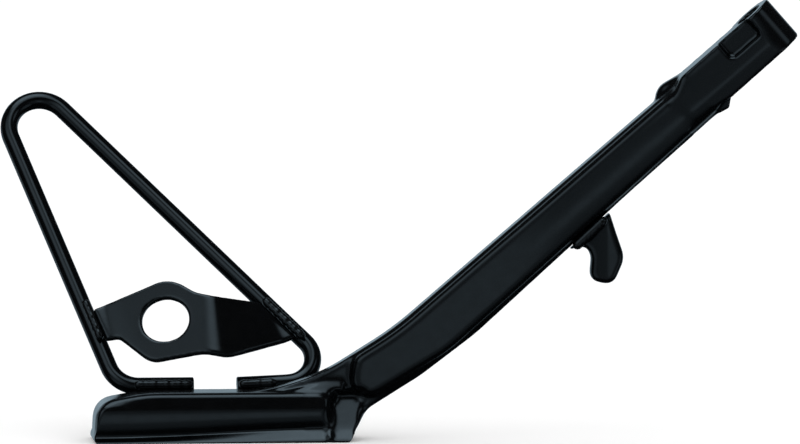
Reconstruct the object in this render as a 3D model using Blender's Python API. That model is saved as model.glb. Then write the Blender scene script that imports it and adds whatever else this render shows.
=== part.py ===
"""Motorcycle kickstand.

A drop-forged leg in one piece from its pivot eye to its foot, a foot loop bent from one round bar, a
pressed bumper bracket and a spring hook, joined by weld beads. The loop leans back from the foot, and the
bracket's pad leans with it. Sizes here are millimetres and degrees; the objects are made in metres.

Frame: the origin is the centre of the pivot bore, +Z is up with the sole flat on the ground, +X runs
from the foot towards the pivot, and -Y is the side that the bumper bracket faces.
"""

import math

import bmesh
import bpy
from mathutils import Vector

MM = 0.001
GAP = 0.3  # between touching pieces

# Leg
LEG_ANGLE = 41.0  # the leg's rise from the ground
LUG_WIDTH = 18.4  # pivot lug, cheek to cheek
EYE_RADIUS = 9.2
BORE_RADIUS = 5.0
HEAD_FRONT = -8.9
HEAD_BACK = 3.2
RIB_FRONT = -8.5
RIB_BACK = 6.4
WEB_HALF = 4.2  # half the thickness at the parting line
POCKET_FLOOR = -6.3

# Foot
SOLE_Z = -154.0
SOLE_HALF_DEPTH = 13.5
SOLE_THICKNESS = 2.6
TOE_X = -255.9
HEEL_X = -158.4
FOOT_HEIGHT = 18.6
FOOT_TOP = SOLE_Z + FOOT_HEIGHT
FOOT_FRONT = -9.6
FOOT_BACK = 11.0
FOOT_EDGE = 2.6  # rounding of the foot's long edges

# Foot loop
WIRE_RADIUS = 3.3
WIRE_Y = 13.7
WIRE_Z = FOOT_TOP + 0.6
LEAN = 0.6  # how far the loop goes back, in Y, for its rise in Z
LOOP_APEX = (-301.4, 1.9)  # where the centrelines of the two straight sides meet
LOOP_LEFT = (-245.6, WIRE_Z)  # where the left side meets the foot
LOOP_RIGHT = (-159.6, -132.3)  # where the right side meets the foot

# Bumper bracket
SHEET = 3.0
BUMPER_HOLE = (-226.8, -110.2)
BUMPER_HOLE_WIDTH = 18.0
PAD_Y = 16.6  # the pad's middle surface at the hole
PAD_TURN = -0.238  # how far the pad goes back, in Y, for each step in X
BEND_RADIUS = 3.0

# Spring hook
HOOK_FRONT = -5.0
HOOK_BACK = 3.4

BEAD_RADIUS = 1.3
RIM_STEPS = 7  # segments of each rounded corner

ALONG = Vector((math.cos(math.radians(LEG_ANGLE)), math.sin(math.radians(LEG_ANGLE))))
ACROSS = Vector((-ALONG.y, ALONG.x))


def on_leg(down, across, radius=0.0):
    """A corner (x, z, radius) given down the leg from the pivot, and across it towards its upper edge."""
    point = ACROSS * across - ALONG * down
    return point.x, point.y, radius


# ---------------------------------------------------------------- scene

def clear_scene():
    for obj in list(bpy.data.objects):
        bpy.data.objects.remove(obj)


def new_collection(name):
    collection = bpy.data.collections.new(name)
    bpy.context.scene.collection.children.link(collection)
    return collection


def coat(name, colour, roughness):
    material = bpy.data.materials.new(name)
    material.use_nodes = True
    shader = material.node_tree.nodes["Principled BSDF"]
    shader.inputs["Base Color"].default_value = (*colour, 1.0)
    shader.inputs["Roughness"].default_value = roughness
    shader.inputs["Metallic"].default_value = 0.0
    return material


clear_scene()
PARTS = new_collection("kickstand")
CUTTERS = new_collection("kickstand_cutters")
FORGING_COAT = coat("forging_coat", (0.012, 0.014, 0.017), 0.12)
WIRE_COAT = coat("wire_coat", (0.010, 0.012, 0.015), 0.10)
SHEET_COAT = coat("sheet_coat", (0.016, 0.019, 0.022), 0.16)
HOOK_COAT = coat("hook_coat", (0.012, 0.014, 0.016), 0.14)
WELD_COAT = coat("weld_coat", (0.008, 0.009, 0.011), 0.18)


def link(obj, material=None):
    """Put a piece in the object's collection, or a shape without a material with the cutters."""
    if material:
        PARTS.objects.link(obj)
        obj.data.materials.append(material)
        return obj
    CUTTERS.objects.link(obj)
    obj.hide_render = True
    obj.display_type = "WIRE"
    return obj


# ---------------------------------------------------------------- outlines

def arc_at(before, corner, after, radius, steps):
    """Points of the arc that rounds the corner between two straight edges."""
    to_before = (before - corner).normalized()
    to_after = (after - corner).normalized()
    half = to_before.angle(to_after) / 2
    centre = corner + (to_before + to_after).normalized() * (radius / math.sin(half))
    spoke = corner + to_before * (radius / math.tan(half)) - centre
    turn = math.pi - 2 * half
    if to_before.cross(to_after) > 0:
        turn = -turn
    points = []
    for step in range(steps + 1):
        cosine = math.cos(turn * step / steps)
        sine = math.sin(turn * step / steps)
        turned = Vector((spoke.x * cosine - spoke.y * sine, spoke.x * sine + spoke.y * cosine))
        points.append(centre + turned)
    return points


def rounded(corners, closed=True, steps=RIM_STEPS):
    """A polyline from (x, z, radius) corners, with an arc at each corner that has a radius."""
    points = []
    last = len(corners) - 1
    for index, (x, z, radius) in enumerate(corners):
        corner = Vector((x, z))
        if radius <= 0 or (not closed and index in (0, last)):
            points.append(corner)
            continue
        before = Vector(corners[index - 1][:2])
        after = Vector(corners[(index + 1) % len(corners)][:2])
        points += arc_at(before, corner, after, radius, steps)
    return points


# ---------------------------------------------------------------- shapes

def add_spline(data, points, cyclic):
    spline = data.splines.new("POLY")
    spline.points.add(len(points) - 1)
    for target, point in zip(spline.points, points):
        target.co = (*(value * MM for value in point), 1.0)
    spline.use_cyclic_u = cyclic


def flat_curve(name, outlines):
    """A filled 2-D curve in the XZ plane; outlines after the first are holes."""
    data = bpy.data.curves.new(name, "CURVE")
    data.dimensions = "2D"
    data.fill_mode = "BOTH"
    for outline in outlines:
        add_spline(data, [(point.x, point.y, 0.0) for point in outline], True)
    curve = bpy.data.objects.new(name, data)
    bpy.context.scene.collection.objects.link(curve)
    curve.rotation_euler.x = math.radians(90)
    return curve


def curve_to_mesh(curve):
    """Take the curve's evaluated shape, in world space and with its caps welded, and remove the curve."""
    bpy.context.view_layer.update()
    evaluated = curve.evaluated_get(bpy.context.evaluated_depsgraph_get())
    mesh = bpy.data.meshes.new_from_object(evaluated)
    mesh.transform(curve.matrix_world)
    mesh.name = curve.name
    bpy.data.objects.remove(curve)
    shape = bmesh.new()
    shape.from_mesh(mesh)
    bmesh.ops.remove_doubles(shape, verts=shape.verts, dist=0.01 * MM)
    bmesh.ops.recalc_face_normals(shape, faces=shape.faces)
    shape.to_mesh(mesh)
    shape.free()
    return mesh


def finish_object(name, mesh, material=None):
    mesh.shade_smooth()
    mesh.set_sharp_from_angle(angle=math.radians(35))
    return link(bpy.data.objects.new(name, mesh), material)


def plate(name, outline, front, back, edge=0.0, material=None):
    """A flat outline from y = front to y = back, with its rims rounded by edge."""
    curve = flat_curve(name, [outline])
    curve.data.extrude = ((back - front) / 2 - edge) * MM
    curve.data.bevel_depth = edge * MM
    curve.data.bevel_resolution = 1
    curve.data.offset = -edge * MM
    curve.location.y = (front + back) / 2 * MM
    return finish_object(name, curve_to_mesh(curve), material)


def rod(name, points, radius, material, resolution=5):
    """A round bar along a polyline of 3-D points."""
    data = bpy.data.curves.new(name, "CURVE")
    data.dimensions = "3D"
    data.bevel_depth = radius * MM
    data.bevel_resolution = resolution
    data.use_fill_caps = True
    add_spline(data, points, False)
    curve = bpy.data.objects.new(name, data)
    bpy.context.scene.collection.objects.link(curve)
    return finish_object(name, curve_to_mesh(curve), material)


def pivot_cylinder(name, radius, length):
    """A cylinder on the pivot axis, which crosses the leg at right angles in the XZ plane."""
    bpy.ops.mesh.primitive_cylinder_add(vertices=48, radius=radius * MM, depth=length * MM)
    obj = bpy.context.object
    obj.name = name
    for collection in list(obj.users_collection):
        collection.objects.unlink(obj)
    obj.rotation_euler.y = -math.radians(LEG_ANGLE)
    return link(obj)


def tapered_block(name, base, base_z, top, top_z):
    """A block between two level rectangles, each (low x, high x, low y, high y)."""
    shape = bmesh.new()
    bmesh.ops.create_cube(shape, size=2.0)
    for vert in shape.verts:
        low_x, high_x, low_y, high_y = base if vert.co.z < 0 else top
        x = low_x if vert.co.x < 0 else high_x
        y = low_y if vert.co.y < 0 else high_y
        z = base_z if vert.co.z < 0 else top_z
        vert.co = Vector((x, y, z)) * MM
    mesh = bpy.data.meshes.new(name)
    shape.to_mesh(mesh)
    shape.free()
    return link(bpy.data.objects.new(name, mesh))


def boolean(target, tool, operation):
    modifier = target.modifiers.new(f"{operation.lower()}_{tool.name}", "BOOLEAN")
    modifier.operation = operation
    modifier.object = tool


# ---------------------------------------------------------------- leg forging

def web_outline():
    """The forging's outline at its parting line, from under the head to the toe."""
    sole = SOLE_Z + 0.5
    return rounded([
        on_leg(20, 7.7),
        on_leg(50, 7.7),
        on_leg(180, 8.4, 120),
        (-168.5, -128.7, 80),
        (-190.0, FOOT_TOP, 60),
        (-236.0, FOOT_TOP - 0.3, 60),
        (-247.0, FOOT_TOP - 2.9, 2),
        (-252.0, sole, 0),
        (HEEL_X + 0.2, sole, 1.5),
        (-151.3, -142.3, 8),
        on_leg(184, -11.9, 60),
        on_leg(158, -13.7, 90),
        on_leg(79, -11.8, 150),
        on_leg(34, -11.3, 6),
        on_leg(28.8, -12.5, 1),
        on_leg(24, -8.6, 1),
        on_leg(20, -8.6),
    ])


def rib_outline():
    """The raised rib along the leg, with its round nose above the ankle."""
    return rounded([
        on_leg(24, 6.6),
        on_leg(50, 6.8),
        on_leg(180, 7.2, 120),
        (-156.8, -122.6, 6),
        (-158.2, -133.9, 6),
        (-150.5, -137.9, 7),
        on_leg(170, -11.5, 60),
        on_leg(79, -10.5, 150),
        on_leg(34, -9.7, 20),
        on_leg(24, -8.4),
    ])


def head_outline():
    """The machined lug from the pivot to the shoulders."""
    half = LUG_WIDTH / 2
    return rounded([
        on_leg(0, half),
        on_leg(35, half, 4),
        on_leg(42, 5.5, 2),
        on_leg(42, -6.5, 2),
        on_leg(25, -half - 0.2, 2),
        on_leg(0, -half),
    ])


def flare_outline():
    """The rough forging that stands proud at the back of the upper cheek."""
    return rounded([
        on_leg(30, 5.0),
        on_leg(30, 8.3),
        on_leg(42.4, 10.7, 1),
        on_leg(45.0, 10.3, 1),
        on_leg(48, 8.0),
        on_leg(48, 5.0),
    ])


def foot_outline():
    return rounded([
        (TOE_X + 0.9, FOOT_TOP - 3.4, 8),
        (TOE_X + 0.2, SOLE_Z + 1.0, 0),
        (-167.5, SOLE_Z + 1.0, 0),
        (-164.8, -146.0, 3.5),
        (-165.2, -137.5, 3.0),
        (-169.0, FOOT_TOP, 4),
        (-236.0, FOOT_TOP, 60),
    ])


def pocket_outline():
    return rounded([
        on_leg(1.3, 14.0),
        on_leg(16.0, 14.0),
        on_leg(16.0, 1.4, 2.5),
        on_leg(1.3, 1.4, 1.5),
    ])


def make_leg_forging():
    leg = plate("leg_forging", web_outline(), -WEB_HALF, WEB_HALF, material=FORGING_COAT)
    sole_top = SOLE_Z + SOLE_THICKNESS
    front = -SOLE_HALF_DEPTH
    back = SOLE_HALF_DEPTH
    additions = [
        plate("rib", rib_outline(), RIB_FRONT, RIB_BACK, edge=1.8),
        plate("head", head_outline(), HEAD_FRONT, HEAD_BACK),
        plate("flare", flare_outline(), -0.6, RIB_BACK - 0.7),
        pivot_cylinder("eye", EYE_RADIUS, LUG_WIDTH),
        plate("foot_body", foot_outline(), FOOT_FRONT, FOOT_BACK, edge=FOOT_EDGE),
        tapered_block(
            "sole", (TOE_X, HEEL_X, front, back), SOLE_Z,
            (TOE_X, HEEL_X + 0.9, front, back), sole_top,
        ),
        tapered_block(
            "sole_cove", (TOE_X + 0.3, HEEL_X - 1.0, front + 0.3, back - 0.3), sole_top - 0.4,
            (TOE_X + 1.2, HEEL_X + 1.0, front + 4.6, back - 2.8), sole_top + 4.0,
        ),
        tapered_block(
            "ankle", (-168.0, HEEL_X - 0.6, front + 1.2, back - 1.2), sole_top - 1.0,
            (-166.0, -152.5, -3.6, 3.6), -131.5,
        ),
    ]
    for addition in additions:
        boolean(leg, addition, "UNION")
    boolean(leg, pivot_cylinder("bore", BORE_RADIUS, 2 * LUG_WIDTH), "DIFFERENCE")
    boolean(leg, plate("pocket", pocket_outline(), HEAD_FRONT - 6, POCKET_FLOOR), "DIFFERENCE")


# ---------------------------------------------------------------- foot loop

STRETCH = math.hypot(1, LEAN)  # a length up the leaning plane for the height that it reaches


def on_loop(x, z, lift=0.0):
    """A point of the loop's plane at x, z as seen from the front, lifted off it towards the front."""
    return x, WIRE_Y + LEAN * (z - WIRE_Z) - lift / STRETCH, z + lift * LEAN / STRETCH


def make_foot_loop():
    """The bar: both its ends lie on the foot's back edge, with a gap between them."""
    corners = [
        (-216.4, WIRE_Z, 0),
        (*LOOP_LEFT, 11.8),
        (*LOOP_APEX, 11.8),
        (*LOOP_RIGHT, 10.2),
        (-182.0, WIRE_Z + 0.7, 40),
        (-199.9, WIRE_Z, 0),
    ]
    flat = [(x, (z - WIRE_Z) * STRETCH, radius) for x, z, radius in corners]
    centreline = rounded(flat, closed=False, steps=14)
    points = [on_loop(point.x, WIRE_Z + point.y / STRETCH) for point in centreline]
    rod("foot_loop", points, WIRE_RADIUS, WIRE_COAT)


# ---------------------------------------------------------------- bumper bracket

LEFT_BEND = (Vector((-246.7, -104.9)), Vector((-242.6, -114.1)))
LEFT_SEAT = (Vector((-249.2, -105.0)), Vector((-247.4, -119.3)))
RIGHT_BEND = (Vector((-208.9, -98.0)), Vector((-209.6, -124.0)))
RIGHT_SEAT = (Vector((-191.4, -103.6)), Vector((-183.4, -118.0)))
LEFT_BAR = (Vector(LOOP_LEFT), Vector(LOOP_APEX))
RIGHT_BAR = (Vector(LOOP_RIGHT), Vector(LOOP_APEX))
SEAT_LIFT = WIRE_RADIUS + GAP + SHEET / 2  # the sheet's middle surface where it lies on the bar


def past(line, x, z):
    """How far a point of the front view lies from a line, positive to the right of its direction."""
    start, end = line
    run = (end - start).normalized()
    return (x - start.x) * run.y - (z - start.y) * run.x


def softened(distance):
    """The distance past a crease, rounded off within the bend."""
    if distance <= -BEND_RADIUS:
        return 0.0
    if distance >= BEND_RADIUS:
        return distance
    return (distance + BEND_RADIUS) ** 2 / (4 * BEND_RADIUS)


def bracket_depth(x, z):
    """The y of the bracket's middle surface: a turned pad whose two ends are bent back onto the bar."""
    hole_x, hole_z = BUMPER_HOLE
    pad = PAD_Y + PAD_TURN * (x - hole_x) + LEAN * (z - hole_z)
    seat = WIRE_Y + LEAN * (z - WIRE_Z) - SEAT_LIFT * STRETCH
    left = softened(past(LEFT_BEND, x, z))
    right = softened(-past(RIGHT_BEND, x, z))
    if left > 0:
        return pad + (seat - pad) * left / (left + softened(-past(LEFT_SEAT, x, z)))
    if right > 0:
        return pad + (seat - pad) * right / (right + softened(past(RIGHT_SEAT, x, z)))
    return pad


def bracket_normal(x, z):
    """The direction out of the bracket's front at x, z."""
    step = 0.05
    across = (bracket_depth(x + step, z) - bracket_depth(x - step, z)) / (2 * step)
    upward = (bracket_depth(x, z + step) - bracket_depth(x, z - step)) / (2 * step)
    return Vector((across, -1.0, upward)).normalized()


def bracket_outline():
    """The bracket's middle surface as it shows from the front."""
    return rounded([
        (-254.0, -106.9, 0),
        (-249.4, -105.3, 5),
        (-224.6, -94.8, 12),
        (-215.4, -99.9, 8),
        (-190.8, -104.9, 0),
        (-177.4, -117.4, 0),
        (-181.5, -118.9, 3),
        (-203.6, -123.3, 12),
        (-212.4, -121.6, 20),
        (-233.0, -125.6, 8),
        (-244.6, -117.1, 2),
        (-249.3, -117.9, 0),
    ])


def bumper_hole():
    """The hole's outline: round in the pad's own plane, so a little narrow seen from the front."""
    hole_x, hole_z = BUMPER_HOLE
    slope = math.hypot(PAD_TURN, LEAN)
    steepest = Vector((PAD_TURN, LEAN)) / slope
    level = Vector((-steepest.y, steepest.x))
    points = []
    for step in range(36):
        angle = 2 * math.pi * step / 36
        rise = math.cos(angle) / math.hypot(1, slope)
        point = (steepest * rise + level * math.sin(angle)) * BUMPER_HOLE_WIDTH / 2
        points.append(Vector((hole_x + point.x, hole_z + point.y)))
    return points


def bend_cuts():
    """Lines across the flat blank, as (point, normal), where the sheet bends or twists."""
    cuts = []
    for (start, end), offsets in (
        (LEFT_BEND, (-BEND_RADIUS, -1.0, 1.0, BEND_RADIUS)),
        (LEFT_SEAT, (-1.0, 1.0)),
        (RIGHT_BEND, (-12.0, -BEND_RADIUS, -1.0, 1.0, BEND_RADIUS)),
        (RIGHT_SEAT, (-BEND_RADIUS, -1.0, 1.0, BEND_RADIUS)),
    ):
        run = (end - start).normalized()
        across = Vector((run.y, -run.x))
        cuts += [(start + across * offset, across) for offset in offsets]
    return cuts


def make_bumper_bracket():
    """The flat blank is cut where it bends, given the sheet's thickness and then pressed into shape."""
    mesh = curve_to_mesh(flat_curve("bumper_bracket", [bracket_outline(), bumper_hole()]))
    shape = bmesh.new()
    shape.from_mesh(mesh)
    for point, across in bend_cuts():
        bmesh.ops.bisect_plane(
            shape, geom=shape.verts[:] + shape.edges[:] + shape.faces[:], dist=0.001 * MM,
            plane_co=Vector((point.x, 0, point.y)) * MM, plane_no=(across.x, 0, across.y),
        )
    backs = shape.verts[:]
    extruded = bmesh.ops.extrude_face_region(shape, geom=shape.faces[:], use_keep_orig=True)["geom"]
    fronts = [item for item in extruded if isinstance(item, bmesh.types.BMVert)]
    for verts, lift in ((backs, -SHEET / 2), (fronts, SHEET / 2)):
        for vert in verts:
            x = vert.co.x / MM
            z = vert.co.z / MM
            vert.co = (Vector((x, bracket_depth(x, z), z)) + bracket_normal(x, z) * lift) * MM
    bmesh.ops.recalc_face_normals(shape, faces=shape.faces)
    shape.to_mesh(mesh)
    shape.free()
    finish_object("bumper_bracket", mesh, SHEET_COAT)


# ---------------------------------------------------------------- spring hook

def hook_outline():
    """The hook under the leg; its root lies along the leg's lower edge and its throat opens to the foot."""
    return rounded([
        on_leg(89.2, -12.4 - GAP),
        on_leg(92.4, -20.1, 8),
        on_leg(96.2, -29.5, 8),
        on_leg(106.5, -34.4, 4.5),
        on_leg(112.0, -27.0, 3.8),
        on_leg(105.8, -21.0, 3.2),
        on_leg(104.0, -16.6, 3),
        on_leg(110.5, -12.9 - GAP),
    ])


def make_spring_hook():
    plate("spring_hook", hook_outline(), HOOK_FRONT, HOOK_BACK, edge=1.6, material=HOOK_COAT)


# ---------------------------------------------------------------- welds

def bead(name, points):
    rod(name, points, BEAD_RADIUS, WELD_COAT, resolution=2)


def on_bar(bar, z, offset):
    """A bead's centre resting on a straight side of the loop, moved sideways by offset in the front view."""
    start, end = bar
    run = end - start
    sideways = Vector((run.y, -run.x)).normalized()
    point = start + run * ((z - start.y) / run.y) + sideways * offset
    reach = WIRE_RADIUS + BEAD_RADIUS + GAP
    return on_loop(point.x, point.y, math.sqrt(reach * reach - offset * offset))


def make_welds():
    groove_y = FOOT_BACK - FOOT_EDGE + 0.5
    groove_z = FOOT_TOP + BEAD_RADIUS + GAP
    root_y = HOOK_FRONT - BEAD_RADIUS
    root_start = on_leg(91.5, -12.9)
    root_end = on_leg(108.0, -13.4)
    bead("foot_weld_left", [(-238.0, groove_y, groove_z), (-218.0, groove_y, groove_z)])
    bead("foot_weld_right", [(-198.0, groove_y, groove_z), (-186.0, groove_y, groove_z + 0.4)])
    left_ends = (-107.0, -119.0)
    right_ends = (-106.0, -118.5)
    bead("bracket_weld_left", [on_bar(LEFT_BAR, z, 0.3) for z in left_ends])
    bead("bracket_weld_right", [on_bar(RIGHT_BAR, z, -0.9) for z in right_ends])
    bead("hook_weld", [(root_start[0], root_y, root_start[1]), (root_end[0], root_y, root_end[1])])


def main():
    make_leg_forging()
    make_foot_loop()
    make_bumper_bracket()
    make_spring_hook()
    make_welds()


main()
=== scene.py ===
"""Finishes a powder-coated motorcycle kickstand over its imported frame.

The leg and the spring hook are the frame's own solids with flowing forged fillets, the foot loop is a bent
round bar, the bumper bracket is pressed sheet with rolled rims, and the welds are rippled beads. Everything
stays where the frame puts it: metres, +Z up, the sole flat on the ground.
"""

import math

import bmesh
import bpy
import numpy as np
from bpy.props import FloatProperty, FloatVectorProperty, IntProperty, PointerProperty
from bpy.types import Operator, Panel, PropertyGroup
from mathutils import Matrix, Vector


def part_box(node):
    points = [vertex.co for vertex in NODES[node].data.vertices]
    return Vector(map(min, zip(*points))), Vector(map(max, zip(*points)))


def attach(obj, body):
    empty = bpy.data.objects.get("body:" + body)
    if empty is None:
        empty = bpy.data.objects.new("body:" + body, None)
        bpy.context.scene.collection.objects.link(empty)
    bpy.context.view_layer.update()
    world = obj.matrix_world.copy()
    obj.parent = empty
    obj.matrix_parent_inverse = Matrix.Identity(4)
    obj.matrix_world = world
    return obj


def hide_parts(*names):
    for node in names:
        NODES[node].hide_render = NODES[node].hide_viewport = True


bl_info = {
    "name": "Powder-coated kickstand",
    "version": (1, 0, 0),
    "blender": (4, 5, 0),
    "location": "View3D > Sidebar > Kickstand",
    "description": "Builds the finished pieces of a motorcycle kickstand over its packed frame",
    "category": "Add Mesh",
}

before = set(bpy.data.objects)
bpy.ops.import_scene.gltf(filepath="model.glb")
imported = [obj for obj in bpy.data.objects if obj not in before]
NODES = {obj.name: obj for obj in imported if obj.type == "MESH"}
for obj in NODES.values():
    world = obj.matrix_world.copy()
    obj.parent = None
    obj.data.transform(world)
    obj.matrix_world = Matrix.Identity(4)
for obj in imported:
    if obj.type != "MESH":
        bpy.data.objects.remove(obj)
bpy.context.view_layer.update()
WELDS = ("foot_weld_left", "foot_weld_right", "bracket_weld_left", "bracket_weld_right", "hook_weld")
MM = 0.001

LEG_RISE = math.radians(41)  # the leg's rise from the ground
ALONG = Vector((math.cos(LEG_RISE), 0, math.sin(LEG_RISE)))
ACROSS = Vector((-math.sin(LEG_RISE), 0, math.cos(LEG_RISE)))
SOLE_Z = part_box("leg_forging")[0].z
FOOT_TOP = SOLE_Z + 18.6 * MM

# The forging's front, in mm: y is negative towards the front, and heights are above the ground.
SOLE_EDGE_Y = -13.4
SOLE_EDGE_HEIGHT = 0.5
COVE_SLOPE = 0.88  # how far the ankle's cove goes back for its rise
COVE_Y = -9.3  # the top of the cove, where the foot's side begins
SIDE_TOP = 16.6  # the top of the foot's side
TOE_COVE_X, HEEL_COVE_X = -256, -162
FOOT_BLEND_X, FOOT_END_X = -168, -165.6  # where the foot's side gives way to the ankle's hollow
ANKLE_BLEND_X, ANKLE_END_X = -154.5, -152.5  # where the hollow gives way to the leg
LEG_FACE_Y = -6.7  # the leg's front face lies in front of this
RIDGE_END = 142  # how far down the leg its ridge runs


# ---------------------------------------------------------------- settings

class KickstandLeg(PropertyGroup):
    voxel: FloatProperty(
        name="Voxel", description="Cell of the forging's surface", default=0.62 * MM, unit="LENGTH",
    )
    leg_crown: FloatProperty(
        name="Leg crown", description="Rise of the ridge on the leg's front", default=0.9 * MM, unit="LENGTH",
    )
    ankle_flow: IntProperty(name="Ankle flow", description="Smoothing rounds at the ankle", default=13, min=0)
    cove_flow: IntProperty(name="Cove flow", description="Smoothing rounds above the sole", default=4, min=0)
    rib_flow: IntProperty(name="Rib flow", description="Smoothing rounds beside the rib", default=8, min=0)


class KickstandLoop(PropertyGroup):
    bar_radius: FloatProperty(
        name="Bar radius", description="Radius of the round bar", default=3.3 * MM, unit="LENGTH",
    )
    bar_y: FloatProperty(
        name="Bar Y", description="Middle of the bar's lower runs", default=13.7 * MM, unit="LENGTH",
    )
    lean: FloatProperty(name="Lean", description="How far the loop goes back for its rise", default=0.6)
    sides: IntProperty(name="Sides", description="Faces around the bar", default=40, min=12)


class KickstandBracket(PropertyGroup):
    voxel: FloatProperty(
        name="Voxel", description="Cell of the sheet's surface", default=0.36 * MM, unit="LENGTH",
    )
    roll: IntProperty(name="Roll", description="Smoothing rounds that roll the rims", default=28, min=0)


class KickstandHook(PropertyGroup):
    voxel: FloatProperty(
        name="Voxel", description="Cell of the hook's surface", default=0.4 * MM, unit="LENGTH",
    )
    flow: IntProperty(name="Flow", description="Smoothing rounds over the hook", default=14, min=0)
    fall: FloatProperty(
        name="Fall", description="How far the hook's face falls back at its inner side",
        default=2.4 * MM, unit="LENGTH",
    )


class KickstandWelds(PropertyGroup):
    pitch: FloatProperty(
        name="Pitch", description="Distance between ripples", default=0.95 * MM, unit="LENGTH",
    )
    radius: FloatProperty(name="Radius", description="Radius of a bead", default=1.75 * MM, unit="LENGTH")


class KickstandFinish(PropertyGroup):
    coat: FloatVectorProperty(
        name="Coat", description="Colour of the powder coat", subtype="COLOR", size=3,
        default=(0.0005, 0.0007, 0.001),
    )
    forged_roughness: FloatProperty(name="Forged roughness", description="Gloss of the forging", default=0.17)
    drawn_roughness: FloatProperty(name="Drawn roughness", description="Gloss of the bar", default=0.15)
    sheet_roughness: FloatProperty(name="Sheet roughness", description="Gloss of the sheet", default=0.16)
    weld_roughness: FloatProperty(name="Weld roughness", description="Gloss of the beads", default=0.24)


class KickstandStage(PropertyGroup):
    azimuth: FloatProperty(
        name="Azimuth", description="Turn of the camera", default=math.radians(-4), subtype="ANGLE",
    )
    elevation: FloatProperty(
        name="Elevation", description="Height of the camera", default=math.radians(6), subtype="ANGLE",
    )
    roll: FloatProperty(name="Roll", description="Roll of the camera", default=0.0, subtype="ANGLE")
    width: FloatProperty(name="Width", description="Width of the view", default=304 * MM, unit="LENGTH")
    target: FloatVectorProperty(
        name="Target", description="Centre of the view", subtype="XYZ", unit="LENGTH",
        default=(-0.13858, 0.00215, -0.07158),
    )


SETTINGS = {
    "kickstand_leg": KickstandLeg,
    "kickstand_loop": KickstandLoop,
    "kickstand_bracket": KickstandBracket,
    "kickstand_hook": KickstandHook,
    "kickstand_welds": KickstandWelds,
    "kickstand_finish": KickstandFinish,
    "kickstand_stage": KickstandStage,
}


# ---------------------------------------------------------------- node helpers

def node(tree, kind, **values):
    """A new node with its input sockets (by name or index) and plain attributes set."""
    made = tree.nodes.new(kind)
    for key, value in values.items():
        if hasattr(made, key):
            setattr(made, key, value)
        else:
            made.inputs[key.replace("_", " ")].default_value = value
    return made


def link(tree, source, target):
    tree.links.new(source, target)


def noise(tree, coordinates, scale, detail, roughness=0.5):
    made = node(tree, "ShaderNodeTexNoise", Scale=scale, Detail=detail, Roughness=roughness)
    link(tree, coordinates, made.inputs["Vector"])
    return made.outputs["Fac"]


def spread(tree, value, low, high):
    """The value, which runs from about 0.3 to 0.7, spread over low to high."""
    made = node(tree, "ShaderNodeMapRange")
    made.inputs["From Min"].default_value = 0.3
    made.inputs["From Max"].default_value = 0.7
    made.inputs["To Min"].default_value = low
    made.inputs["To Max"].default_value = high
    link(tree, value, made.inputs["Value"])
    return made.outputs["Result"]


def bumped(tree, height, distance, below=None):
    made = node(tree, "ShaderNodeBump", Strength=1.0, Distance=distance)
    link(tree, height, made.inputs["Height"])
    if below:
        link(tree, below, made.inputs["Normal"])
    return made.outputs["Normal"]


def powder_coat(name, colour, roughness, peel=8e-6, wave=0.0, wave_scale=90.0):
    """Gloss black powder coat: orange peel, a slow unevenness of the metal below, and a hazy bloom."""
    material = bpy.data.materials.new(name)
    material.use_nodes = True
    tree = material.node_tree
    shader = tree.nodes["Principled BSDF"]
    shader.inputs["Metallic"].default_value = 0.0
    shader.inputs["IOR"].default_value = 1.5
    place = node(tree, "ShaderNodeTexCoord").outputs["Object"]
    bloom = noise(tree, place, 70.0, 3.0)
    ramp = node(tree, "ShaderNodeValToRGB")
    ramp.color_ramp.elements[0].position = 0.35
    ramp.color_ramp.elements[0].color = (*(value * 0.75 for value in colour), 1.0)
    ramp.color_ramp.elements[1].position = 0.7
    ramp.color_ramp.elements[1].color = (*(value * 1.25 for value in colour), 1.0)
    link(tree, bloom, ramp.inputs["Fac"])
    link(tree, ramp.outputs["Color"], shader.inputs["Base Color"])
    haze = noise(tree, place, 240.0, 4.0)
    link(tree, spread(tree, haze, roughness * 0.85, roughness * 1.15), shader.inputs["Roughness"])
    normal = None
    if wave > 0:
        normal = bumped(tree, noise(tree, place, wave_scale, 2.0), wave)
    normal = bumped(tree, noise(tree, place, 620.0, 2.0, 0.4), peel, normal)
    link(tree, normal, shader.inputs["Normal"])
    return material


# ---------------------------------------------------------------- mesh helpers

def new_piece(name, mesh, material, slot, *replaced):
    """Show a finished mesh as a piece that rides on the frame and stands for these nodes."""
    mesh.materials.clear()
    mesh.materials.append(material)
    piece = bpy.data.objects.new(name, mesh)
    bpy.context.scene.collection.objects.link(piece)
    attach(piece, "root")
    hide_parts(*replaced)
    return piece


def merged_copy(name):
    """A bmesh of a frame node with its loose triangles joined."""
    shape = bmesh.new()
    shape.from_mesh(NODES[name].data)
    bmesh.ops.remove_doubles(shape, verts=shape.verts, dist=0.002 * MM)
    return shape


def remeshed(shape, voxel):
    """The shape as an even skin of small quads."""
    mesh = bpy.data.meshes.new("skin")
    shape.to_mesh(mesh)
    shape.free()
    holder = bpy.data.objects.new("skin", mesh)
    bpy.context.scene.collection.objects.link(holder)
    modifier = holder.modifiers.new("skin", "REMESH")
    modifier.mode = "VOXEL"
    modifier.voxel_size = voxel
    bpy.context.view_layer.update()
    skin = bpy.data.meshes.new_from_object(holder.evaluated_get(bpy.context.evaluated_depsgraph_get()))
    bpy.data.objects.remove(holder)
    bpy.data.meshes.remove(mesh)
    result = bmesh.new()
    result.from_mesh(skin)
    bpy.data.meshes.remove(skin)
    return result


def flow(shape, verts, rounds, factor=0.5):
    for _ in range(rounds):
        bmesh.ops.smooth_vert(
            shape, verts=verts, factor=factor, use_axis_x=True, use_axis_y=True, use_axis_z=True,
        )


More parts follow.
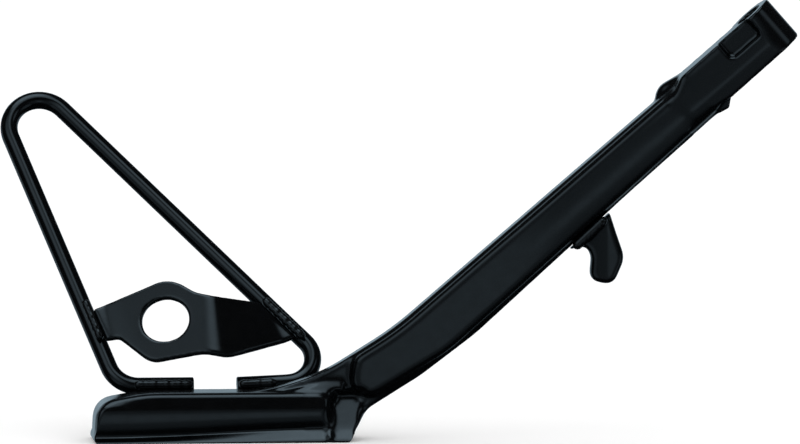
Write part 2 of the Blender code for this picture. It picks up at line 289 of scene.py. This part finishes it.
def smooth_mesh(shape, name, sharp=180.0):
    """A smooth-shaded mesh of the shape, which is then freed."""
    bmesh.ops.recalc_face_normals(shape, faces=shape.faces)
    mesh = bpy.data.meshes.new(name)
    shape.to_mesh(mesh)
    shape.free()
    mesh.shade_smooth()
    if sharp < 180:
        mesh.set_sharp_from_angle(angle=math.radians(sharp))
    return mesh


def down_leg(point):
    """How far a point lies down the leg from the pivot, and across it towards its upper edge."""
    return -point.dot(ALONG), point.dot(ACROSS)


def eased(value, low, high):
    """0 at low and 1 at high, with soft ends."""
    part = min(max((value - low) / (high - low), 0.0), 1.0)
    return part * part * (3 - 2 * part)


def hump(offset, half, power):
    """1 in the middle of a strip, falling to 0 at half its width."""
    return 1 - min(abs(offset) / half, 1.0) ** power


# ---------------------------------------------------------------- operators

def foot_face(x, height):
    """The y of the foot's front at a height above the ground: sole edge, cove and bulging side, in mm."""
    cove = 1.7 + 3.4 * eased(x, TOE_COVE_X, HEEL_COVE_X)
    if height < SOLE_EDGE_HEIGHT:
        return SOLE_EDGE_Y
    if height < cove:
        part = (height - SOLE_EDGE_HEIGHT) / (cove - SOLE_EDGE_HEIGHT)
        return SOLE_EDGE_Y + (COVE_Y - SOLE_EDGE_Y) * part
    middle = (cove + SIDE_TOP) / 2
    return COVE_Y - 1.35 * hump(height - middle, (SIDE_TOP - cove) / 2, 2.4)


def ankle_face(height):
    """The y of the ankle's front at a height above the ground, in mm: a hollow sweeping out to the sole."""
    if height < SOLE_EDGE_HEIGHT:
        return SOLE_EDGE_Y
    if height < 5:
        return SOLE_EDGE_Y + COVE_SLOPE * (height - SOLE_EDGE_HEIGHT)
    if height < 16.5:
        return -9.44 + 0.6 * (height - 5)
    return -2.54 - 0.3 * (height - 16.5)


def leg_face(down, across):
    """How far the leg's front rises at a point, in 0..1.

    A ridge that is crisp by the pivot softens down the leg, with a shoulder above it, and runs out half way.
    """
    offset = across + 3.4 - 0.6 * eased(down, 10, 70)
    rounding = 0.35 + 1.9 * eased(down, 20, 70)
    fall = math.hypot(offset, rounding) - rounding
    if offset > 0:
        fall -= eased(down, 34, 50) * max(fall - 4.6, 0.0)
    return max(1 - fall / (10 if offset > 0 else 9), 0.0) * eased(down, RIDGE_END, 98)


def fill_ankle(shape):
    """Fill the corner between the foot's top and the ankle with a block whose front leans back."""
    for vert in bmesh.ops.create_cube(shape, size=1.0)["verts"]:
        right, top = vert.co.x > 0, vert.co.z > 0
        if right:
            front, height = (-4.0, 24.0) if top else (-7.2, 18.5)
        else:
            front, height = (-7.2, 18.0) if top else (-8.8, 15.0)
        x = -160.5 if right else -186.0
        vert.co = Vector((x * MM, (front if vert.co.y < 0 else 1.0) * MM, SOLE_Z + height * MM))


class KICKSTAND_OT_leg(Operator):
    """Give the forging its flowing fillets and its crowned faces"""

    bl_idname = "kickstand.leg"
    bl_label = "Leg forging"

    def execute(self, context):
        settings = context.scene.kickstand_leg
        finish = context.scene.kickstand_finish
        shape = merged_copy("leg_forging")
        fill_ankle(shape)
        shape = remeshed(shape, settings.voxel)
        shape.normal_update()
        ankle = []
        cove = []
        rib = []
        neck = []
        for vert in shape.verts:
            down, across = down_leg(vert.co)
            x, y, z = vert.co / MM
            height = z - SOLE_Z / MM
            on_nose = down < 184 * MM and x > -159 and -9.5 * MM < across
            hollow_top = 15 if x < -164 else 18.6
            if x < FOOT_END_X and y < -7.9 and height < 15.5:
                share = eased(x, FOOT_END_X, FOOT_BLEND_X) * eased(height, 15.5, 13.0)
                vert.co.y += (foot_face(x, height) * MM - vert.co.y) * share
            elif FOOT_BLEND_X < x < ANKLE_END_X and y < -2.5 and height < hollow_top and not on_nose:
                share = eased(x, FOOT_BLEND_X, FOOT_END_X) * eased(x, ANKLE_END_X, ANKLE_BLEND_X)
                vert.co.y += (ankle_face(height) * MM - vert.co.y) * share
            if -176 < x < -152 and 3.5 < height < 30 and not on_nose and y < 6:
                ankle.append(vert)
            elif x < -154 and 0.4 < height < 9:
                cove.append(vert)
            elif down > 46 * MM:
                rib.append(vert)
            elif down > 33 * MM:
                neck.append(vert)
        flow(shape, rib, settings.rib_flow)
        flow(shape, neck, 3 * settings.rib_flow)
        flow(shape, cove, settings.cove_flow)
        flow(shape, ankle, settings.ankle_flow)
        for vert in shape.verts:
            down, across = (value / MM for value in down_leg(vert.co))
            if vert.normal.y < -0.55 and -3 < down < RIDGE_END and vert.co.y < LEG_FACE_Y * MM:
                fade = eased(down, -3, 3) * eased(-vert.normal.y, 0.55, 0.95)
                vert.co.y -= settings.leg_crown * fade * leg_face(down, across)
            elif vert.normal.y < -0.8 and 2 < down < 16 and 1.5 < across and vert.co.y < -5.5 * MM:
                vert.co.y += 0.09 * (across - 2) * MM
        flow(shape, shape.verts[:], 2, 0.4)
        mesh = smooth_mesh(shape, "leg_forging_finished")
        coat = powder_coat(
            "forged_powder_coat", finish.coat, finish.forged_roughness, wave=2.2e-5, wave_scale=110.0,
        )
        new_piece("leg_forging_finished", mesh, coat, "forging_coat", "leg_forging")
        return {"FINISHED"}


def bend(shape, ring, before, corner, after, radius, steps):
    """Carry a ring of edges round the bend at a corner, from the straight before it to the one after."""
    arrive = (corner - before).normalized()
    leave = (after - corner).normalized()
    turn = arrive.angle(leave)
    reach = radius * math.tan(turn / 2)
    inward = (leave - arrive).normalized()
    centre = corner + inward * (radius / math.cos(turn / 2))
    start = corner - arrive * reach
    ring = straight(shape, ring, start)
    spun = bmesh.ops.spin(
        shape, geom=ring, cent=centre, axis=arrive.cross(leave).normalized(), dvec=(0, 0, 0),
        angle=turn, steps=steps, use_merge=False, use_normal_flip=False, use_duplicate=False,
    )["geom_last"]
    return [item for item in spun if isinstance(item, bmesh.types.BMEdge)]


def ring_centre(ring):
    verts = dict.fromkeys(vert for edge in ring for vert in edge.verts)
    return sum((vert.co for vert in verts), Vector()) / len(verts)


def straight(shape, ring, end):
    """Draw a ring of edges straight on to a new centre."""
    step = end - ring_centre(ring)
    drawn = bmesh.ops.extrude_edge_only(shape, edges=ring)["geom"]
    verts = [item for item in drawn if isinstance(item, bmesh.types.BMVert)]
    bmesh.ops.translate(shape, vec=step, verts=verts)
    fresh = set(verts)
    return [item for item in drawn if isinstance(item, bmesh.types.BMEdge) and fresh.issuperset(item.verts)]


class KICKSTAND_OT_loop(Operator):
    """Bend the foot loop from one round bar"""

    bl_idname = "kickstand.loop"
    bl_label = "Foot loop"

    def execute(self, context):
        settings = context.scene.kickstand_loop
        finish = context.scene.kickstand_finish
        bar_z = FOOT_TOP + 0.6 * MM

        def place(x, z):
            return Vector((x * MM, settings.bar_y + settings.lean * (z * MM - bar_z), z * MM))

        # Where the bar turns, by x and height in mm, and how wide it bends there.
        low = bar_z / MM
        corners = [
            (place(-216.4, low), 0), (place(-245.6, low), 11.8), (place(-301.4, 1.9), 11.8),
            (place(-159.6, -132.3), 10.2), (place(-182.0, low + 0.7), 40), (place(-199.9, low), 0),
        ]
        shape = bmesh.new()
        points = [corner[0] for corner in corners]
        first = (points[1] - points[0]).normalized()
        turn = first.to_track_quat("Z", "Y").to_matrix().to_4x4()
        ring = bmesh.ops.create_circle(
            shape, cap_ends=False, segments=settings.sides, radius=settings.bar_radius,
            matrix=Matrix.Translation(points[0]) @ turn,
        )["verts"]
        ring = list(dict.fromkeys(edge for vert in ring for edge in vert.link_edges))
        for index in range(1, len(points) - 1):
            ring = bend(
                shape, ring, points[index - 1], points[index], points[index + 1],
                corners[index][1] * MM, 6 if index == 4 else 22,
            )
        ring = straight(shape, ring, points[-1])
        ends = [edge for edge in shape.edges if edge.is_boundary]
        caps = bmesh.ops.holes_fill(shape, edges=ends, sides=0)["faces"]
        rims = list(dict.fromkeys(edge for cap in caps for edge in cap.edges))
        bmesh.ops.bevel(
            shape, geom=rims, offset=0.5 * MM, segments=3, profile=0.5, affect="EDGES", material=-1,
            clamp_overlap=True,
        )
        mesh = smooth_mesh(shape, "foot_loop_finished", 50)
        coat = powder_coat("drawn_powder_coat", finish.coat, finish.drawn_roughness, peel=6e-6, wave=4e-6)
        new_piece("foot_loop_finished", mesh, coat, "wire_coat", "foot_loop")
        return {"FINISHED"}


class KICKSTAND_OT_bracket(Operator):
    """Roll the rims of the pressed bumper bracket"""

    bl_idname = "kickstand.bracket"
    bl_label = "Bumper bracket"

    def execute(self, context):
        settings = context.scene.kickstand_bracket
        finish = context.scene.kickstand_finish
        shape = remeshed(merged_copy("bumper_bracket"), settings.voxel)
        flow(shape, shape.verts[:], settings.roll)
        mesh = smooth_mesh(shape, "bumper_bracket_finished")
        coat = powder_coat("sheet_powder_coat", finish.coat, finish.sheet_roughness, wave=5e-6)
        new_piece("bumper_bracket_finished", mesh, coat, "sheet_coat", "bumper_bracket")
        return {"FINISHED"}


class KICKSTAND_OT_hook(Operator):
    """Round the forged spring hook"""

    bl_idname = "kickstand.hook"
    bl_label = "Spring hook"

    def execute(self, context):
        settings = context.scene.kickstand_hook
        finish = context.scene.kickstand_finish
        shape = remeshed(merged_copy("spring_hook"), settings.voxel)
        low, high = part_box("spring_hook")
        for vert in shape.verts:
            inner = (high.x - vert.co.x) / (high.x - low.x)
            if vert.co.y < 0:
                vert.co.y += settings.fall * eased(inner, 0.25, 0.9)
        flow(shape, shape.verts[:], settings.flow)
        mesh = smooth_mesh(shape, "spring_hook_finished")
        coat = powder_coat(
            "hook_powder_coat", finish.coat, finish.forged_roughness, wave=1.2e-5, wave_scale=160.0,
        )
        new_piece("spring_hook_finished", mesh, coat, "hook_coat", "spring_hook")
        return {"FINISHED"}


class KICKSTAND_OT_welds(Operator):
    """Lay the rippled weld beads along the frame's plain ones"""

    bl_idname = "kickstand.welds"
    bl_label = "Weld beads"

    def execute(self, context):
        settings = context.scene.kickstand_welds
        finish = context.scene.kickstand_finish
        coat = powder_coat("weld_powder_coat", finish.coat, finish.weld_roughness, peel=6e-6)
        for name in WELDS:
            start, end = bead_ends(name)
            pitch = settings.pitch
            radius = settings.radius
            if name == "hook_weld":
                pitch, radius = 0.4 * pitch, 1.08 * radius
                start, end = start.lerp(end, 0.1), end.lerp(start, 0.1)
            mesh = rippled_bead(f"{name}_finished", start, end, radius, pitch)
            new_piece(f"{name}_finished", mesh, coat, "weld_coat", name)
        return {"FINISHED"}


def bead_ends(name):
    """The two ends of a plain bead's axis: the centres of its two end caps."""
    points = np.array([vert.co for vert in NODES[name].data.vertices])
    centre = points.mean(axis=0)
    run = np.linalg.svd(points - centre, full_matrices=False)[2][0]
    reach = (points - centre) @ run
    low = points[reach < reach.min() + 0.2 * MM].mean(axis=0)
    high = points[reach > reach.max() - 0.2 * MM].mean(axis=0)
    return Vector(low), Vector(high)


def rippled_bead(name, start, end, radius, pitch):
    """A row of overlapping puddles, each frozen over the one before it."""
    run = end - start
    count = max(3, round(run.length / pitch))
    turn = run.to_track_quat("X", "Z").to_matrix().to_4x4()
    shape = bmesh.new()
    for index in range(count):
        centre = start + run * ((index + 0.5) / count)
        size = radius * (1.0 + 0.09 * math.sin(index * 2.4) + 0.05 * math.sin(index * 5.1 + 1))
        stretched = Matrix.Diagonal((1.15, 1.0, 1.0, 1.0))
        bmesh.ops.create_uvsphere(
            shape, u_segments=20, v_segments=12, radius=size,
            matrix=Matrix.Translation(centre) @ turn @ stretched,
        )
    shape = remeshed(shape, 0.22 * MM)
    flow(shape, shape.verts[:], 18)
    return smooth_mesh(shape, name)


# ---------------------------------------------------------------- stage

def world_mask(tree, value, low, high, soft):
    """1 where the value is between low and high, with soft edges."""
    rise = node(tree, "ShaderNodeMapRange", interpolation_type="SMOOTHSTEP")
    rise.inputs["From Min"].default_value = low - soft
    rise.inputs["From Max"].default_value = low + soft
    fall = node(tree, "ShaderNodeMapRange", interpolation_type="SMOOTHSTEP")
    fall.inputs["From Min"].default_value = high + soft
    fall.inputs["From Max"].default_value = high - soft
    link(tree, value, rise.inputs["Value"])
    link(tree, value, fall.inputs["Value"])
    return times(tree, rise.outputs["Result"], fall.outputs["Result"])


def worked(tree, operation, first, second):
    """Two values, each a number or a socket, added or multiplied."""
    made = node(tree, "ShaderNodeMath", operation=operation)
    for socket, value in zip(made.inputs, (first, second)):
        if isinstance(value, (int, float)):
            socket.default_value = value
        else:
            link(tree, value, socket)
    return made.outputs["Value"]


def times(tree, first, second):
    return worked(tree, "MULTIPLY", first, second)


def plus(tree, first, second):
    return worked(tree, "ADD", first, second)


def patch(tree, direction, centre, near, far, strength):
    """A round soft box round a direction: full strength within one angle of it, none beyond the other."""
    made = node(tree, "ShaderNodeVectorMath", operation="DOT_PRODUCT")
    made.inputs[1].default_value = Vector(centre).normalized()
    link(tree, direction, made.inputs[0])
    fade = node(tree, "ShaderNodeMapRange", interpolation_type="SMOOTHSTEP")
    fade.inputs["From Min"].default_value = math.cos(math.radians(far))
    fade.inputs["From Max"].default_value = math.cos(math.radians(near))
    link(tree, made.outputs["Value"], fade.inputs["Value"])
    return times(tree, fade.outputs["Result"], strength)


def studio_world():
    """A white room for the floor and, in the coat's gloss, soft boxes in a dark one.

    The boxes stand where the faces, bends and rims of this kickstand throw their highlights.
    """
    world = bpy.data.worlds.new("studio")
    world.use_nodes = True
    tree = world.node_tree
    tree.nodes.clear()
    direction = node(tree, "ShaderNodeTexCoord").outputs["Generated"]
    split = node(tree, "ShaderNodeSeparateXYZ")
    link(tree, direction, split.inputs["Vector"])
    x, y, z = (split.outputs[index] for index in range(3))
    front = world_mask(tree, y, -1.2, -0.5, 0.2)
    level = times(
        tree, world_mask(tree, z, -0.46, 0.22, 0.12), times(tree, world_mask(tree, x, -0.5, 0.4, 0.2), front),
    )
    light = plus(tree, 0.012, times(tree, level, 0.15))
    # Where each box stands, how many degrees from there it begins to fade and is gone, and its strength.
    for centre, near, far, strength in (
        ((-0.10, -0.05, 1.0), 8, 22, 1.9),
        ((0.05, -0.42, 0.90), 4, 19, 1.3),
        ((-0.50, -0.58, 0.64), 10, 28, 0.55),
        ((-0.50, -0.78, 0.38), 8, 26, 0.40),
        ((0.07, -0.99, -0.10), 3, 9, 0.30),
        ((0.72, -0.51, 0.46), 4, 14, 0.50),
        ((-0.25, 0.93, 0.28), 6, 18, 0.40),
        ((0.07, 0.99, -0.10), 10, 38, 0.45),
        ((0.72, 0.65, -0.22), 8, 28, 0.40),
        ((-0.72, 0.65, -0.22), 8, 28, 0.40),
        ((0.70, -0.66, -0.26), 6, 22, 0.30),
        ((-0.70, -0.66, -0.26), 6, 22, 0.30),
    ):
        light = plus(tree, light, patch(tree, direction, centre, near, far, strength))
    tint = node(tree, "ShaderNodeCombineColor")
    link(tree, times(tree, light, 0.75), tint.inputs[0])
    link(tree, times(tree, light, 1.0), tint.inputs[1])
    link(tree, times(tree, light, 1.17), tint.inputs[2])
    gloss = node(tree, "ShaderNodeBackground")
    link(tree, tint.outputs[0], gloss.inputs["Color"])
    room = node(tree, "ShaderNodeBackground")
    room.inputs["Color"].default_value = (1, 1, 1, 1)
    room.inputs["Strength"].default_value = 1.12
    path = node(tree, "ShaderNodeLightPath")
    mix = node(tree, "ShaderNodeMixShader")
    link(tree, path.outputs["Is Glossy Ray"], mix.inputs["Fac"])
    link(tree, room.outputs[0], mix.inputs[1])
    link(tree, gloss.outputs[0], mix.inputs[2])
    output = node(tree, "ShaderNodeOutputWorld")
    link(tree, mix.outputs[0], output.inputs["Surface"])
    bpy.context.scene.world = world


def make_floor():
    shape = bmesh.new()
    bmesh.ops.create_circle(
        shape, cap_ends=True, segments=96, radius=6.0, matrix=Matrix.Translation((0, 0, SOLE_Z - 0.0001)),
    )
    mesh = bpy.data.meshes.new("floor")
    shape.to_mesh(mesh)
    shape.free()
    material = bpy.data.materials.new("pale_floor")
    material.use_nodes = True
    shader = material.node_tree.nodes["Principled BSDF"]
    shader.inputs["Base Color"].default_value = (0.96, 0.96, 0.96, 1)
    shader.inputs["Roughness"].default_value = 0.9
    shader.inputs["Specular IOR Level"].default_value = 0.0
    mesh.materials.append(material)
    floor = bpy.data.objects.new("floor", mesh)
    bpy.context.scene.collection.objects.link(floor)
    floor.visible_glossy = False


class KICKSTAND_OT_stage(Operator):
    """Set the floor, the room and the camera"""

    bl_idname = "kickstand.stage"
    bl_label = "Stage"

    def execute(self, context):
        settings = context.scene.kickstand_stage
        studio_world()
        make_floor()
        data = bpy.data.cameras.new("camera")
        data.type = "ORTHO"
        data.ortho_scale = settings.width
        data.clip_start = 0.01
        data.clip_end = 20
        camera = bpy.data.objects.new("camera", data)
        context.scene.collection.objects.link(camera)
        height = math.sin(settings.elevation)
        level = math.cos(settings.elevation)
        away = Vector((level * math.sin(settings.azimuth), -level * math.cos(settings.azimuth), height))
        turn = away.to_track_quat("Z", "Y").to_matrix().to_4x4() @ Matrix.Rotation(settings.roll, 4, "Z")
        camera.matrix_world = Matrix.Translation(Vector(settings.target) + away * 1.5) @ turn
        context.scene.camera = camera
        context.scene.view_settings.view_transform = "Standard"
        return {"FINISHED"}


OPERATORS = (
    KICKSTAND_OT_leg, KICKSTAND_OT_loop, KICKSTAND_OT_bracket, KICKSTAND_OT_hook, KICKSTAND_OT_welds,
    KICKSTAND_OT_stage,
)


class KICKSTAND_PT_pieces(Panel):
    """The kickstand's pieces"""

    bl_idname = "KICKSTAND_PT_pieces"
    bl_label = "Kickstand"
    bl_space_type = "VIEW_3D"
    bl_region_type = "UI"
    bl_category = "Kickstand"

    def draw(self, context):
        for operator in OPERATORS:
            self.layout.operator(operator.bl_idname)


def register():
    for name, group in SETTINGS.items():
        bpy.utils.register_class(group)
        setattr(bpy.types.Scene, name, PointerProperty(type=group))
    for operator in (*OPERATORS, KICKSTAND_PT_pieces):
        bpy.utils.register_class(operator)


def unregister():
    for operator in reversed((*OPERATORS, KICKSTAND_PT_pieces)):
        bpy.utils.unregister_class(operator)
    for name, group in SETTINGS.items():
        delattr(bpy.types.Scene, name)
        bpy.utils.unregister_class(group)


def main():
    register()
    bpy.ops.kickstand.leg()
    bpy.ops.kickstand.loop()
    bpy.ops.kickstand.bracket()
    bpy.ops.kickstand.hook()
    bpy.ops.kickstand.welds()
    bpy.ops.kickstand.stage()


if __name__ == "__main__":
    main()
